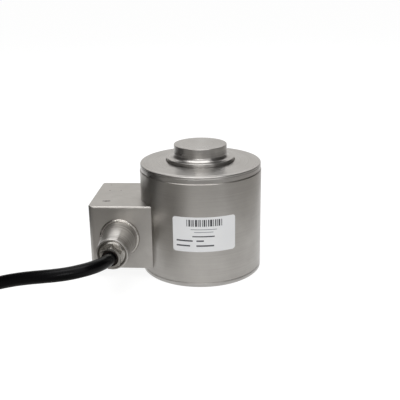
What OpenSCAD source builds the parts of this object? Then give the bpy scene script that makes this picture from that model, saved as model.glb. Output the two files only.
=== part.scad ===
// Canister strain gauge load cell with a side cable block, a cable gland and a free cable.
// The origin is the centre of the base face, on the load axis. +Z is the way the load button
// faces, the cable block lies towards -X and its gland points towards -Y.

/* [Canister] */
// Outer diameter of the base and the housing tube
body_d = 82.6; // [80:0.1:100]
// Height of the cover plate's top face
body_h = 75; // [68:0.5:95]
// Wall of the housing tube round the gauge chamber
tube_wall = 3.4; // [2.6:0.1:5]
// Height of the base plate's outer edge, up to the seam with the tube
base_edge_h = 2.8; // [2:0.1:5]
// Thickness of the base plate inside the tube
base_t = 12; // [11:0.5:16]
// Depth of the weld grooves at both seams
weld_groove = 0.4; // [0.2:0.05:0.8]

/* [Top cover] */
// Height of the cover's edge above the tube
cover_edge_h = 4.6; // [3.5:0.1:7]
// How much smaller the cover is than the tube, in radius
cover_step = 0.4; // [0.2:0.05:1]
// Thickness of the cover's flexing web
web_t = 1.8; // [1:0.1:2.5]
// Width of the shallow groove between the cover and the flare's foot
groove_w = 0.9; // [0.9:0.1:1.6]
// Depth of the cover's spigot below the tube's mouth
spigot_h = 9.6; // [6:0.2:14]

/* [Load column] */
// Diameter of the load button
button_d = 35.8; // [24:0.2:38]
// Height of the load button above the cover plate
button_rise = 12.1; // [9:0.1:20]
// Diameter of the flare at the button's foot
flare_d = 45.4; // [45:0.2:47]
// Height of the flare above the cover plate
flare_h = 3.4; // [2.8:0.1:4.2]
// Radius of the hollow between the button and its flare
flare_r = 2.9; // [1:0.1:3]
// Diameter of the turned column
column_d = 34; // [30:0.5:36]
// Width across the flats that carry the gauges
flats_w = 27; // [25:0.5:29]
// Thickness of the column's collar under the inner diaphragm
collar_t = 4; // [3:0.5:6]
// Thickness of the inner diaphragm
diaphragm_t = 0.8; // [0.5:0.1:1.5]
// Thickness of the sealing ring at the bottom of the groove
seal_ring_t = 0.4; // [0.3:0.1:0.8]

/* [Base fixing] */
// Pitch circle diameter of the tapped holes in the base
base_pcd = 60; // [52:0.5:64]
// Number of tapped holes in the base
base_holes = 4; // [3:1:6]
// Tapping diameter of the holes in the base
base_hole_d = 6.8; // [4:0.1:8]
// Depth of the holes in the base
base_hole_depth = 9; // [5:0.5:9.5]

/* [Gauges and board] */
// Length of a gauge
gauge_l = 11; // [6:0.5:12]
// Width of a gauge
gauge_w = 6; // [3:0.5:7]
// Thickness of a gauge with its backing
gauge_t = 0.25; // [0.1:0.05:0.4]
// Height of the spacers under the ring board
spacer_h = 3; // [2:0.5:6]
// Thickness of the ring board
board_t = 1.6; // [1:0.2:2]
// Gap between the ring board and the tube
board_gap = 2; // [1:0.1:3]
// Diameter of the wires between the gauges and the board
bridge_wire_d = 0.7; // [0.4:0.1:1]

/* [Cable block] */
// Distance of the block's outer face from the tube
block_reach = 32.5; // [28:0.1:45]
// Distance of the block's front face from the load axis
block_front = 27; // [22:0.5:32]
// Distance of the block's rear face from the load axis
block_rear = 28; // [22:0.5:32]
// Height of the block's underside above the base
block_lift = 6.6; // [3:0.2:10]
// Height of the block
block_h = 44.1; // [40:0.5:52]
// Radius of the block's two outer upright corners
block_corner_r = 4.5; // [2:0.5:8]
// Radius of the block's other edges
block_edge_r = 1.1; // [0.4:0.1:2]
// Wall round the block's wiring chamber
block_wall = 9; // [6:0.5:11]
// Diameter of the wire hole through the tube's wall
wire_hole_d = 10; // [8:0.5:12]

/* [Gland] */
// Distance of the gland's axis from the tube
gland_reach = 11.7; // [9:0.1:16]
// Length of the gland body
gland_l = 28.5; // [24:0.5:34]
// Diameter of the gland body at the block
gland_foot_d = 23.4; // [21:0.2:28]
// Diameter of the gland body at its mouth
gland_mouth_d = 20.4; // [19.8:0.2:24]
// Outer diameter of the clamping nut
nut_d = 17.6; // [15.5:0.2:18.4]
// Length of the clamping nut inside the gland body
nut_l = 11.5; // [9:0.5:12]
// Width across the flats of the clamping nut's hexagon
nut_key = 12.6; // [12:0.1:13.4]
// Length of the clamping nut's hexagon
hex_l = 6.3; // [4:0.1:10]
// Width of the weld bead round the gland's foot
bead_w = 1.9; // [0.8:0.1:2.4]

/* [Label] */
// Height of the label
label_h = 23.6; // [10:0.2:30]
// Angle that the label takes round the tube
label_turn = 58; // [30:1:80]
// Angle from the gland's side to the label's middle
label_at = 6.3; // [-10:0.1:20]
// Height of the label's lower edge
label_z = 25.1; // [10:0.1:35]
// Radius of the label's corners
label_corner_r = 1.8; // [0.5:0.1:4]

/* [Cable] */
// Diameter of the cable
cable_d = 8; // [6:0.1:8.4]
// Radius of the coil at the middle of its turns
coil_r = 61; // [54:1:70]
// Turns of the coil side by side
coil_across = 4; // [3:1:4]
// Turns of the coil on top of each other
coil_high = 4; // [3:1:6]
// Diameter of the cores inside the cable
core_d = 1.8; // [1.2:0.1:2]
// Width of a coil tie
tie_w = 5; // [3:0.5:8]
// Thickness of a coil tie
tie_t = 0.8; // [0.5:0.1:1.2]

/* [Hidden] */
$fn = 72;
steel = "#a09c98";
bright_steel = "#b8b7b3";
fit = 0.1;
tiny = 0.05;

body_r = body_d / 2;
tube_r = body_r - tube_wall;
seat_r = tube_r + 1;
tube_top = body_h - cover_edge_h;
diaphragm_z = tube_top - spigot_h - diaphragm_t;
cover_r = body_r - cover_step;
button_z = body_h + button_rise;
button_r = button_d / 2;
flare_edge_r = flare_d / 2;
flare_z = body_h + flare_h;
flare_round = 0.35;
flare_fillet = 0.4;
neck_r = flare_edge_r + flare_fillet + 0.1;
groove_out_r = neck_r + groove_w;
ring_ledge = 0.35;
shoulder_r = neck_r + ring_ledge;
ring_z = body_h - 0.55;
collar_r = shoulder_r + 1.4;
collar_slope = 3.25;
column_r = column_d / 2;
foot_fillet = 3;
flat_at = flats_w / 2;
flats_low = base_t + 8;
flats_high = diaphragm_z - collar_t - collar_slope - 0.25;
spigot_wall = 3;
boss_w = 3.6;
bevel = 0.6;

board_r_in = collar_r + 0.9;
board_r_out = tube_r - board_gap;
board_z = base_t + spacer_h;
board_top = board_z + board_t;
board_mid_r = (board_r_in + board_r_out) / 2;
screw_r = 1.25;
screw_head_r = 2.3;
screw_head_h = 1.5;
screw_depth = 5;
run_out = column_r - flat_at;
gauge_gap = 0.8;
tab_h = 4;
tab_w = 14;
tab_t = 0.4;
tab_z = flats_high - run_out - tab_h - 0.5;
axial_z = tab_z - gauge_gap - gauge_l / 2;
poisson_z = axial_z - gauge_l / 2 - gauge_gap - gauge_w / 2;
bridge_side = gauge_l / 2 + bridge_wire_d / 2 + 0.6;
bridge_bend = 2;
bridge_z = flats_low + run_out + gauge_gap;

block_out = body_r + block_reach;
block_top = block_lift + block_h;
gland_x = body_r + gland_reach;
gland_z = block_lift + block_h / 2;
chamber_r = 4;
chamber_front = block_front - block_wall - 2;
chamber_rear = block_rear - block_wall - 2;
chamber_low = block_lift + block_wall;
chamber_high = block_top - block_wall;
chamber_out = block_out - block_wall;
jacket_end = -chamber_front;
throat_r = cable_d / 2 + 0.6;
sleeve_wall = 1.5;
sleeve_l = tube_wall + 3.6;
core_side = core_d / 2 + 0.4;
core_bend = 8;
core_drop = 4;
core_drop_x = -tube_r + 4;

gland_mouth = block_front + gland_l;
gland_foot_r = gland_foot_d / 2;
gland_mouth_r = gland_mouth_d / 2;
nut_r = nut_d / 2;
nut_front = gland_mouth + 0.2;
nut_back = nut_front - nut_l;
nut_tip = nut_front + hex_l;
nut_hole_r = cable_d / 2 + 1;
nut_chamfer = 1.2;
seal_r = nut_r - 0.8;
seal_back = nut_back - 8;
seal_nose = nut_tip - 1;
seal_cone = seal_r - nut_hole_r;

label_t = 0.15;
tube_sides = 12;
lead_sides = 8;
lead_d = 1.5;
shield_d = 1.1;
sleeve_r = 4.5;
sleeve_nose_r = 3.3;
end_sleeve_l = 16;

// The cable's way out of the gland, down to the floor and up to the coil
cable_route = [
    [-53, -16, 28.65],
    [-53, -38, 28.65],
    [-53, -60, 28.65],
    [-53.9, -67, 29.2],
    [-56.6, -73.5, 29.7],
    [-60.9, -79.1, 29.9],
    [-66.5, -83.4, 29.8],
    [-73, -86.1, 29.3],
    [-80, -87, 28.5],
    [-89, -86.7, 27.3],
    [-98, -85.6, 25.8],
    [-108, -84.2, 23.6],
    [-119, -82.9, 20.5],
    [-131, -81.6, 16.3],
    [-143, -80.6, 11.8],
    [-155, -80.1, 7.9],
    [-167, -80, 5.2],
    [-180, -80, 4.2],
    [-193, -80, 4.4],
    [-195.7, -80, 4.5]
];
// The coil starts where the run meets its outer turn
run_end = cable_route[len(cable_route) - 1];
coil_in_r = coil_r - coil_across * cable_d / 2;
coil_out_r = coil_r + coil_across * cable_d / 2;
coil_x = run_end.x - sqrt(coil_out_r ^ 2 - (coil_out_r - cable_d) ^ 2) - fit;
coil_y = run_end.y + coil_out_r - cable_d / 2;
coil_lift = tie_t;
coil_top = coil_lift + coil_high * cable_d;
// The cable's last stretch, inside the ring of the coil
tail_route = [
    [-261.3, -33.5, 4.8],
    [-262.5, -28.7, 4.8],
    [-262.9, -20.1, 4.7],
    [-261.6, -11.7, 4.6],
    [-258.3, -4.7, 4.5],
    [-253.3, 0.3, 4.5]
];
// The bared ends of the cores and of the shield
red_route = [[-243.7, 13.3, 4.5], [-240.2, 18.6, 3.2], [-237.6, 22.6, 1.4], [-236, 26.4, 0.8]];
black_route = [[-242.6, 12.2, 4.5], [-237.9, 16.9, 2.9], [-233.8, 20.5, 1.2], [-229.2, 24.4, 0.8]];
green_route = [[-241.4, 11, 4.5], [-236.6, 15, 2.9], [-231.6, 17.8, 1.2], [-225.8, 20.2, 0.8]];
white_route = [[-240.3, 9.9, 4.5], [-235.4, 12.6, 3.2], [-230.6, 13.8, 1.4], [-225, 13.9, 0.8]];
shield_route = [[-242, 11.6, 6], [-239, 14.6, 5.7], [-235.2, 18, 3.6], [-232, 20.1, 1.9]];

// Points of an arc about [x, y], from angle a to angle b
function arc(x, y, r, a, b, steps = 6) =
    [for (i = [0:steps]) let (t = a + (b - a) * i / steps) [x + r * cos(t), y + r * sin(t)]];

function unit(v) = v / norm(v);

// Direction of a route at its point i
function heading(route, i) =
    unit(route[min(i + 1, len(route) - 1)] - route[max(i - 1, 0)]);

// A tube swept along the points of a route
module swept_tube(route, d, sides) {
    count = len(route);
    rings = [
        for (i = [0:count - 1])
            let (along = heading(route, i), side = unit(cross(along, [0, 0, 1])), up = cross(side, along))
                for (k = [0:sides - 1])
                    let (t = 360 * k / sides) route[i] + d / 2 * (cos(t) * side + sin(t) * up)
    ];
    walls = [
        for (i = [0:count - 2], k = [0:sides - 1])
            let (n = (k + 1) % sides, a = i * sides, b = a + sides) [a + k, b + k, b + n, a + n]
    ];
    first = [for (k = [0:sides - 1]) k];
    last = [for (k = [0:sides - 1]) (count - 1) * sides + sides - 1 - k];
    polyhedron(rings, concat(walls, [first, last]));
}

// A rectangle from one corner to the other with round corners
module rounded_rect(low, high, r) {
    translate([low.x + r, low.y]) square([high.x - low.x - 2 * r, high.y - low.y]);
    translate([low.x, low.y + r]) square([high.x - low.x, high.y - low.y - 2 * r]);
    for (x = [low.x + r, high.x - r], y = [low.y + r, high.y - r])
        translate([x, y]) circle(r);
}

// Copies of what follows on each of the column's four flats
module on_flats() {
    for (turn = [0:90:270])
        rotate([0, 0, turn]) translate([flat_at, 0, 0]) children();
}

// Copies of what follows at the ring board's four screws
module at_board_screws() {
    for (turn = [45:90:315])
        rotate([0, 0, turn]) translate([board_mid_r, 0, 0]) children();
}

// Base plate, gauged column, collar, flare and load button, turned from one bar
module load_column() {
    color(bright_steel) difference() {
        rotate_extrude() polygon(concat(
            [
                [0, 0],
                [body_r - bevel, 0],
                [body_r, bevel],
                [body_r, base_edge_h - weld_groove],
                [body_r - weld_groove, base_edge_h],
                [tube_r - fit, base_edge_h],
                [tube_r - fit, base_t - bevel],
                [tube_r - fit - bevel, base_t]
            ],
            arc(column_r + foot_fillet, base_t + foot_fillet, foot_fillet, 270, 180),
            [
                [column_r, diaphragm_z - collar_t - collar_slope],
                [collar_r, diaphragm_z - collar_t],
                [collar_r, diaphragm_z],
                [shoulder_r, diaphragm_z],
                [shoulder_r, ring_z],
                [neck_r, ring_z],
                [neck_r, body_h]
            ],
            arc(flare_edge_r + flare_fillet, body_h + flare_fillet, flare_fillet, 270, 180),
            arc(flare_edge_r - flare_round, flare_z - flare_round, flare_round, 0, 90),
            arc(button_r + flare_r, flare_z + flare_r, flare_r, 270, 180, 10),
            [[button_r, button_z - 0.4], [button_r - 0.12, button_z - 0.12], [button_r - 0.4, button_z], [0, button_z]]
        ));
        // The four flats, with sloping run-outs at both ends
        for (turn = [0:90:270])
            rotate([90, 0, turn]) linear_extrude(column_d, center = true) polygon([
                [flat_at, flats_low + run_out],
                [column_r + 1, flats_low - 1],
                [column_r + 1, flats_high + 1],
                [flat_at, flats_high - run_out]
            ]);
        // Tapped holes for fixing the base from below
        for (i = [0:base_holes - 1])
            rotate([0, 0, 360 * i / base_holes]) translate([base_pcd / 2, 0, -1])
                cylinder(h = base_hole_depth + 1, d = base_hole_d);
        // Tapped holes for the ring board's screws
        at_board_screws() translate([0, 0, base_t - screw_depth]) cylinder(h = screw_depth + 1, r = screw_r);
    }
}

// A foil gauge on its backing, lying on a flat, with its long side upright or level
module gauge(long, wide) {
    translate([gauge_t / 2, 0, 0]) cube([gauge_t, wide, long], center = true);
}

module axial_gauges() {
    color("#c58a3a") on_flats() translate([0, 0, axial_z]) gauge(gauge_l, gauge_w);
}

module poisson_gauges() {
    color("#c58a3a") on_flats() translate([0, 0, poisson_z]) gauge(gauge_w, gauge_l);
}

// Strips with copper pads, bonded above the gauges
module solder_tabs() {
    color("#b87333") on_flats() translate([0, -tab_w / 2, tab_z]) cube([tab_t, tab_w, tab_h]);
}

module board_spacers() {
    color("#d9d4c4") at_board_screws() translate([0, 0, base_t]) difference() {
        cylinder(h = spacer_h, r = screw_head_r);
        translate([0, 0, -1]) cylinder(h = spacer_h + 2, r = screw_r + fit);
    }
}

// Ring of circuit board that carries the bridge's trimming resistors
module ring_board() {
    color("#2f6b3c") translate([0, 0, board_z]) difference() {
        cylinder(h = board_t, r = board_r_out);
        translate([0, 0, -1]) cylinder(h = board_t + 2, r = board_r_in);
        at_board_screws() translate([0, 0, -1]) cylinder(h = board_t + 2, r = screw_r + fit);
    }
}

module board_screws() {
    color("silver") at_board_screws() {
        translate([0, 0, base_t - screw_depth + 0.5])
            cylinder(h = board_top - base_t + screw_depth - 0.5 + tiny, r = screw_r - tiny);
        translate([0, 0, board_top]) difference() {
            cylinder(h = screw_head_h, r = screw_head_r);
            translate([-screw_head_r - 1, -0.3, screw_head_h / 2]) cube([2 * screw_head_r + 2, 0.6, screw_head_h]);
        }
    }
}

// Small resistors that lie on the board between the bridge wires
module trim_resistors() {
    resistor_r = 1.2;
    resistor_l = 6;
    leg_r = 0.3;
    leg_reach = 4.4;
    color("#3f6fa8") for (turn = [0, 90, 270])
        rotate([0, 0, turn]) translate([board_mid_r, 0, board_top + resistor_r]) {
            rotate([90, 0, 0]) cylinder(h = resistor_l, r = resistor_r, center = true);
            rotate([90, 0, 0]) cylinder(h = 2 * leg_reach, r = leg_r, center = true);
            for (side = [-1, 1])
                translate([0, side * leg_reach, -resistor_r]) cylinder(h = resistor_r + leg_r, r = leg_r);
        }
}

// Bobbins of nickel wire that keep the output steady as the cell warms up
module span_resistors() {
    color("#7a3b26") for (turn = [157.5, 202.5])
        rotate([0, 0, turn]) translate([board_mid_r, 0, board_top]) rotate_extrude()
            polygon([[0, 0], [2.6, 0], [2.6, 0.8], [1.9, 0.8], [1.9, 5.2], [2.6, 5.2], [2.6, 6], [0, 6]]);
}

// A quarter bend of round wire about Z, from angle a on
module wire_bend(bend_r, d, a) {
    rotate([0, 0, a]) rotate_extrude(angle = 90) translate([bend_r, 0]) circle(d = d);
}

// Two wires from each flat's solder tabs down and out to the ring board
module bridge_wires() {
    off = bridge_wire_d / 2 + 0.1;
    out = board_r_in + 2.5 - flat_at;
    color("#b03a2e") on_flats() for (side = [-1, 1]) translate([0, side * bridge_side, 0]) {
        translate([off, 0, bridge_z + bridge_bend])
            cylinder(h = tab_z - bridge_z - bridge_bend, d = bridge_wire_d);
        translate([off + bridge_bend, 0, bridge_z + bridge_bend]) rotate([90, 0, 0])
            wire_bend(bridge_bend, bridge_wire_d, 180);
        translate([off + bridge_bend, 0, bridge_z]) rotate([0, 90, 0])
            cylinder(h = out - off - 2 * bridge_bend, d = bridge_wire_d);
        translate([out - bridge_bend, 0, bridge_z - bridge_bend]) rotate([90, 0, 0])
            wire_bend(bridge_bend, bridge_wire_d, 0);
        translate([out, 0, board_top]) cylinder(h = bridge_z - bridge_bend - board_top, d = bridge_wire_d);
    }
}

// Tube that closes the gauge chamber, stepped inside for the inner diaphragm
module housing_tube() {
    color(steel) difference() {
        rotate_extrude() polygon([
            [tube_r, base_edge_h],
            [body_r - weld_groove, base_edge_h],
            [body_r, base_edge_h + weld_groove],
            [body_r, tube_top - 0.3],
            [body_r - 0.3, tube_top],
            [seat_r, tube_top],
            [seat_r, diaphragm_z],
            [tube_r, diaphragm_z]
        ]);
        translate([-body_r - 1, 0, gland_z]) rotate([0, 90, 0])
            cylinder(h = tube_wall + 2, d = wire_hole_d);
    }
}

// Weld bead in the groove between the base and the tube
module base_weld() {
    color(steel) rotate_extrude() polygon([
        [body_r - weld_groove, base_edge_h],
        [body_r - 0.12, base_edge_h - weld_groove + 0.12],
        [body_r - 0.05, base_edge_h],
        [body_r - 0.12, base_edge_h + weld_groove - 0.12]
    ]);
}

module inner_diaphragm() {
    color(bright_steel) translate([0, 0, diaphragm_z]) difference() {
        cylinder(h = diaphragm_t, r = seat_r - fit);
        translate([0, 0, -1]) cylinder(h = diaphragm_t + 2, r = shoulder_r + fit);
    }
}

// Cover with a spigot, a thin web that flexes, and a boss round the column's neck
module top_cover() {
    spigot_in_r = seat_r - fit - spigot_wall;
    bore_r = groove_out_r - ring_ledge;
    boss_r = bore_r + boss_w;
    boss_z = body_h - web_t - 1.2;
    rim_round = 0.6;
    groove_z = body_h - 1.4;
    groove_depth = 0.15;
    web_fillet = 0.8;
    color(bright_steel) rotate_extrude() polygon(concat(
        [
            [spigot_in_r, tube_top - spigot_h],
            [seat_r - fit, tube_top - spigot_h],
            [seat_r - fit, tube_top],
            [cover_r - weld_groove, tube_top],
            [cover_r, tube_top + weld_groove],
            [cover_r, groove_z - 0.3],
            [cover_r - groove_depth, groove_z - 0.1],
            [cover_r - groove_depth, groove_z + 0.1],
            [cover_r, groove_z + 0.3]
        ],
        arc(cover_r - rim_round, body_h - rim_round, rim_round, 0, 90),
        [
            [groove_out_r + 0.15, body_h],
            [groove_out_r, body_h - 0.15],
            [groove_out_r, ring_z],
            [bore_r, ring_z],
            [bore_r, boss_z],
            [boss_r, boss_z],
            [boss_r, body_h - web_t]
        ],
        arc(spigot_in_r - web_fillet, body_h - web_t - web_fillet, web_fillet, 90, 0)
    ));
}

// Weld bead between the cover's edge and the tube's mouth
module cover_weld() {
    color(steel) rotate_extrude() polygon([
        [cover_r - weld_groove, tube_top],
        [body_r - 0.35, tube_top],
        [cover_r + 0.02, tube_top + 0.18],
        [cover_r - 0.1, tube_top + weld_groove - 0.1]
    ]);
}

// Thin ring that seals the groove between the column and the cover
module seal_ring() {
    color(steel) translate([0, 0, ring_z]) difference() {
        cylinder(h = seal_ring_t, r = groove_out_r - tiny);
        translate([0, 0, -1]) cylinder(h = seal_ring_t + 2, r = neck_r + tiny);
    }
}

// Room inside the block, open towards the tube, up to a given distance from the axis
module chamber(inner_x) {
    translate([-chamber_out, 0, 0]) rotate([90, 0, 90]) linear_extrude(chamber_out - inner_x)
        rounded_rect([-chamber_front, chamber_low], [chamber_rear, chamber_high], chamber_r);
}

// Steel block with a hollow for the wiring, seated round the tube
module junction_block() {
    inner_x = body_r * 0.6;
    color(steel) difference() {
        intersection() {
            // Plan view, with the two outer corners round
            translate([0, 0, block_lift]) linear_extrude(block_h) union() {
                rounded_rect([-block_out, -block_front], [-inner_x, block_rear], block_corner_r);
                translate([-body_r, -block_front]) square([body_r - inner_x, block_front + block_rear]);
            }
            // Side view from -X, with round upper and lower edges
            translate([-block_out - 1, 0, 0]) rotate([90, 0, 90]) linear_extrude(block_out)
                rounded_rect([-block_front, block_lift], [block_rear, block_top], block_edge_r);
            // Front view, with a round outer edge
            translate([0, block_rear + 1, 0]) rotate([90, 0, 0]) linear_extrude(block_front + block_rear + 2)
                rounded_rect([-block_out, block_lift], [0, block_top], block_edge_r);
        }
        translate([0, 0, block_lift - 1]) cylinder(h = block_h + 2, r = body_r, $fn = 144);
        chamber(inner_x);
        translate([-gland_x, -chamber_front + 1, gland_z]) rotate([90, 0, 0])
            cylinder(h = block_front - chamber_front + 2, r = throat_r);
    }
}

// Insulating sleeve that lines the wire hole
module wire_sleeve() {
    color("#e8e6df") translate([-body_r - 2, 0, gland_z]) rotate([0, 90, 0]) difference() {
        cylinder(h = sleeve_l, d = wire_hole_d - fit);
        translate([0, 0, -1]) cylinder(h = sleeve_l + 2, d = wire_hole_d - 2 * sleeve_wall);
    }
}

// Puts a shape turned about Z on the gland's axis, its height running out along -Y
module on_gland_axis() {
    translate([-gland_x, 0, gland_z]) rotate([90, 0, 0]) children();
}

// Tapered gland body, bored for the seal and the clamping nut
module gland_body() {
    color(steel) on_gland_axis() rotate_extrude() polygon([
        [throat_r, block_front],
        [gland_foot_r, block_front],
        [gland_mouth_r + 0.02, gland_mouth - 0.3],
        [gland_mouth_r - 0.3, gland_mouth],
        [nut_r + 0.6, gland_mouth],
        [nut_r + fit, gland_mouth - 0.6],
        [nut_r + fit, nut_back - 0.5],
        [seal_r + fit, nut_back - 0.5],
        [seal_r + fit, seal_back + 1],
        [seal_r - 1, seal_back],
        [throat_r, seal_back]
    ]);
}

module gland_weld() {
    color(steel) on_gland_axis() translate([0, 0, block_front]) rotate_extrude() polygon(concat(
        [[gland_foot_r, 0], [gland_foot_r + bead_w, 0]],
        arc(gland_foot_r + bead_w - 1, 0.5, 1, 0, 80, 5),
        [[gland_foot_r + 0.25, 1.35], [gland_foot_r, 0.6]]
    ));
}

// Rubber bush round the cable, with a nose that shows inside the nut
module gland_seal() {
    color("#2b211d") on_gland_axis() difference() {
        rotate_extrude() polygon([
            [0, seal_back],
            [seal_r - 1, seal_back],
            [seal_r, seal_back + 1],
            [seal_r, nut_back],
            [nut_hole_r - fit, nut_back + seal_cone + fit],
            [nut_hole_r - fit, seal_nose - 0.3],
            [nut_hole_r - 0.4, seal_nose],
            [0, seal_nose]
        ]);
        cylinder(h = seal_nose + 1, r = cable_d / 2);
    }
}

// Clamping nut, screwed into the gland body, with a chamfered shoulder and a hexagon outside
module gland_nut() {
    hex_turn = 22;
    corner_r = nut_key / 2 / cos(30);
    foot_z = nut_front - nut_chamfer;
    color(bright_steel) on_gland_axis() difference() {
        union() {
            rotate_extrude() polygon([
                [0, nut_back],
                [nut_r, nut_back],
                [nut_r, foot_z],
                [nut_r - nut_chamfer, nut_front],
                [0, nut_front]
            ]);
            // The hexagon, with the tips of its corners turned off at the front
            intersection() {
                translate([0, 0, foot_z]) rotate([0, 0, hex_turn])
                    cylinder(h = nut_tip - foot_z, r = corner_r, $fn = 6);
                rotate_extrude() polygon([
                    [0, foot_z],
                    [corner_r + 1, foot_z],
                    [corner_r + 1, nut_tip - 0.8],
                    [corner_r - 0.4, nut_tip],
                    [0, nut_tip]
                ]);
            }
        }
        rotate_extrude() polygon([
            [0, nut_back - 1],
            [seal_r, nut_back - 1],
            [seal_r, nut_back],
            [nut_hole_r, nut_back + seal_cone],
            [nut_hole_r, nut_tip - 0.3],
            [nut_hole_r + 0.4, nut_tip + 0.1],
            [nut_hole_r + 0.4, nut_tip + 1],
            [0, nut_tip + 1]
        ]);
    }
}

// One core, from the jacket's end round the bend and through the wall, down to the board
module core(across, up) {
    turn_x = core_bend - gland_x;
    z = gland_z + up;
    translate([across - gland_x, -core_bend, z]) rotate([90, 0, 0])
        cylinder(h = -jacket_end - core_bend, d = core_d);
    translate([turn_x, -core_bend, z]) wire_bend(core_bend - across, core_d, 90);
    translate([turn_x, -across, z]) rotate([0, 90, 0]) cylinder(h = core_drop_x - turn_x, d = core_d);
    translate([core_drop_x, -across, gland_z - core_drop]) rotate([90, 0, 0])
        wire_bend(core_drop + up, core_d, 0);
    translate([core_drop_x + core_drop + up, -across, board_top])
        cylinder(h = gland_z - core_drop - board_top, d = core_d);
}

module red_core() {
    color("#b5211d") core(core_side, core_side);
}

module black_core() {
    color("#202020") core(-core_side, core_side);
}

module green_core() {
    color("#1f7a3a") core(core_side, -core_side);
}

module white_core() {
    color("#e6e6e2") core(-core_side, -core_side);
}

// Compound that fills the chamber round the cores
module sealing_compound() {
    color("#3a3a40") difference() {
        chamber(body_r - 1);
        translate([0, 0, chamber_low - 1])
            cylinder(h = chamber_high - chamber_low + 2, r = body_r + tiny, $fn = 144);
        translate([-body_r - 2, 0, gland_z]) rotate([0, 90, 0]) cylinder(h = 4, d = wire_hole_d);
        for (across = [-core_side, core_side], up = [-core_side, core_side]) core(across, up);
    }
}

// Thin label, stuck round the tube
module label() {
    half = (body_r + label_t) * sin(label_turn / 2);
    color("#d8d7d6") rotate([0, 0, label_at]) intersection() {
        difference() {
            translate([0, 0, label_z - 1]) cylinder(h = label_h + 2, r = body_r + label_t, $fn = 144);
            translate([0, 0, label_z - 2]) cylinder(h = label_h + 4, r = body_r, $fn = 144);
        }
        rotate([90, 0, 0]) linear_extrude(body_r + 1)
            rounded_rect([-half, label_z], [half, label_z + label_h], label_corner_r);
    }
}

module cable_run() {
    color("#1c1c1e") swept_tube(cable_route, cable_d, tube_sides);
}

// Outline of the coil's bundle of turns, or of a tie round it
module bundle_outline(grow) {
    rounded_rect(
        [coil_in_r - grow, coil_lift - grow],
        [coil_out_r + grow, coil_top + grow],
        cable_d / 2 + grow
    );
}

module cable_coil() {
    color("#1c1c1e") translate([coil_x, coil_y, 0]) rotate_extrude() bundle_outline(0);
}

module cable_tail() {
    color("#1c1c1e") swept_tube(tail_route, cable_d, tube_sides);
}

// Head of a tie, with the strap's trimmed end standing out of it
module tie_head() {
    head_l = 6.4;
    head_w = tie_w + 2.2;
    head_h = 4.2;
    stub_at = 0.8;
    stub_w = tie_w - 1;
    linear_extrude(head_h) rounded_rect([-head_l / 2, -head_w / 2], [head_l / 2, head_w / 2], 1);
    translate([stub_at, -stub_w / 2, 0]) cube([tie_t, stub_w, head_h + 1.5]);
}

// Three ties round the bundle, which the coil also rests on
module coil_ties() {
    tie_turn = tie_w / coil_r * 180 / PI;
    color("#262626") translate([coil_x, coil_y, 0]) for (turn = [30, 150, 270])
        rotate([0, 0, turn]) {
            rotate([0, 0, -tie_turn / 2]) rotate_extrude(angle = tie_turn) difference() {
                bundle_outline(tie_t);
                bundle_outline(0);
            }
            translate([coil_r, 0, coil_top + tie_t / 2]) tie_head();
        }
}

// Shrunk sleeve over the end of the cable's jacket
module end_sleeve() {
    color("#151515") translate(tail_route[len(tail_route) - 1]) rotate([0, 90, 45]) rotate_extrude() polygon([
        [0, 0],
        [sleeve_r, 0],
        [sleeve_r, 8],
        [sleeve_nose_r, 11],
        [sleeve_nose_r, end_sleeve_l],
        [0, end_sleeve_l]
    ]);
}

module red_lead() {
    color("#b5211d") swept_tube(red_route, lead_d, lead_sides);
}

module black_lead() {
    color("#202020") swept_tube(black_route, lead_d, lead_sides);
}

module green_lead() {
    color("#1f7a3a") swept_tube(green_route, lead_d, lead_sides);
}

module white_lead() {
    color("#e6e6e2") swept_tube(white_route, lead_d, lead_sides);
}

module shield_lead() {
    color("#c9c9c6") swept_tube(shield_route, shield_d, lead_sides);
}

load_column();
axial_gauges();
poisson_gauges();
solder_tabs();
board_spacers();
ring_board();
board_screws();
trim_resistors();
span_resistors();
bridge_wires();
housing_tube();
base_weld();
inner_diaphragm();
top_cover();
cover_weld();
seal_ring();
junction_block();
wire_sleeve();
gland_body();
gland_weld();
gland_seal();
gland_nut();
red_core();
black_core();
green_core();
white_core();
sealing_compound();
label();
cable_run();
cable_coil();
cable_tail();
coil_ties();
end_sleeve();
red_lead();
black_lead();
green_lead();
white_lead();
shield_lead();
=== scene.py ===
import math

import bpy
from mathutils import Matrix, Vector


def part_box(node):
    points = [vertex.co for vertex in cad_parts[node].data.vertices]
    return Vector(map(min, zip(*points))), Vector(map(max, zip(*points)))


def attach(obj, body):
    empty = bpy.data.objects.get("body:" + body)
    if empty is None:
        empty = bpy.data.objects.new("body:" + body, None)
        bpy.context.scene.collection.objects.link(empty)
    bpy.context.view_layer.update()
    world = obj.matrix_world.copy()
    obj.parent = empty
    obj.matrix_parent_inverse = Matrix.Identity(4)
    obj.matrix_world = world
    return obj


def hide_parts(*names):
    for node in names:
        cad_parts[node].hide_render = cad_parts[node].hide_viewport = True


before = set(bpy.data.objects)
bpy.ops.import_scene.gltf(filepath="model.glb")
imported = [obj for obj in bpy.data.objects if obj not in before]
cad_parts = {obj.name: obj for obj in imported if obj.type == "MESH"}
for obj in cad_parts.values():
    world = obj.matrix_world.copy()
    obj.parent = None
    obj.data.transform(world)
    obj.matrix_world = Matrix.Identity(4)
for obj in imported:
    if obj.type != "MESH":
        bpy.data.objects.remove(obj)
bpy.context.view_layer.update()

# Load column
# One bar of precipitation-hardened stainless steel, turned on a lathe: base plate, gauged
# column, collar, flare and load button. Tapped holes in the base take the fixing screws.
MM = 0.001
GROOVE_RUN = 45.5 * MM
HANDLING_CLOUD = 18.2 * MM
EASED_EDGE = 0.25 * MM
EDGE_SAMPLES = 6


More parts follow.
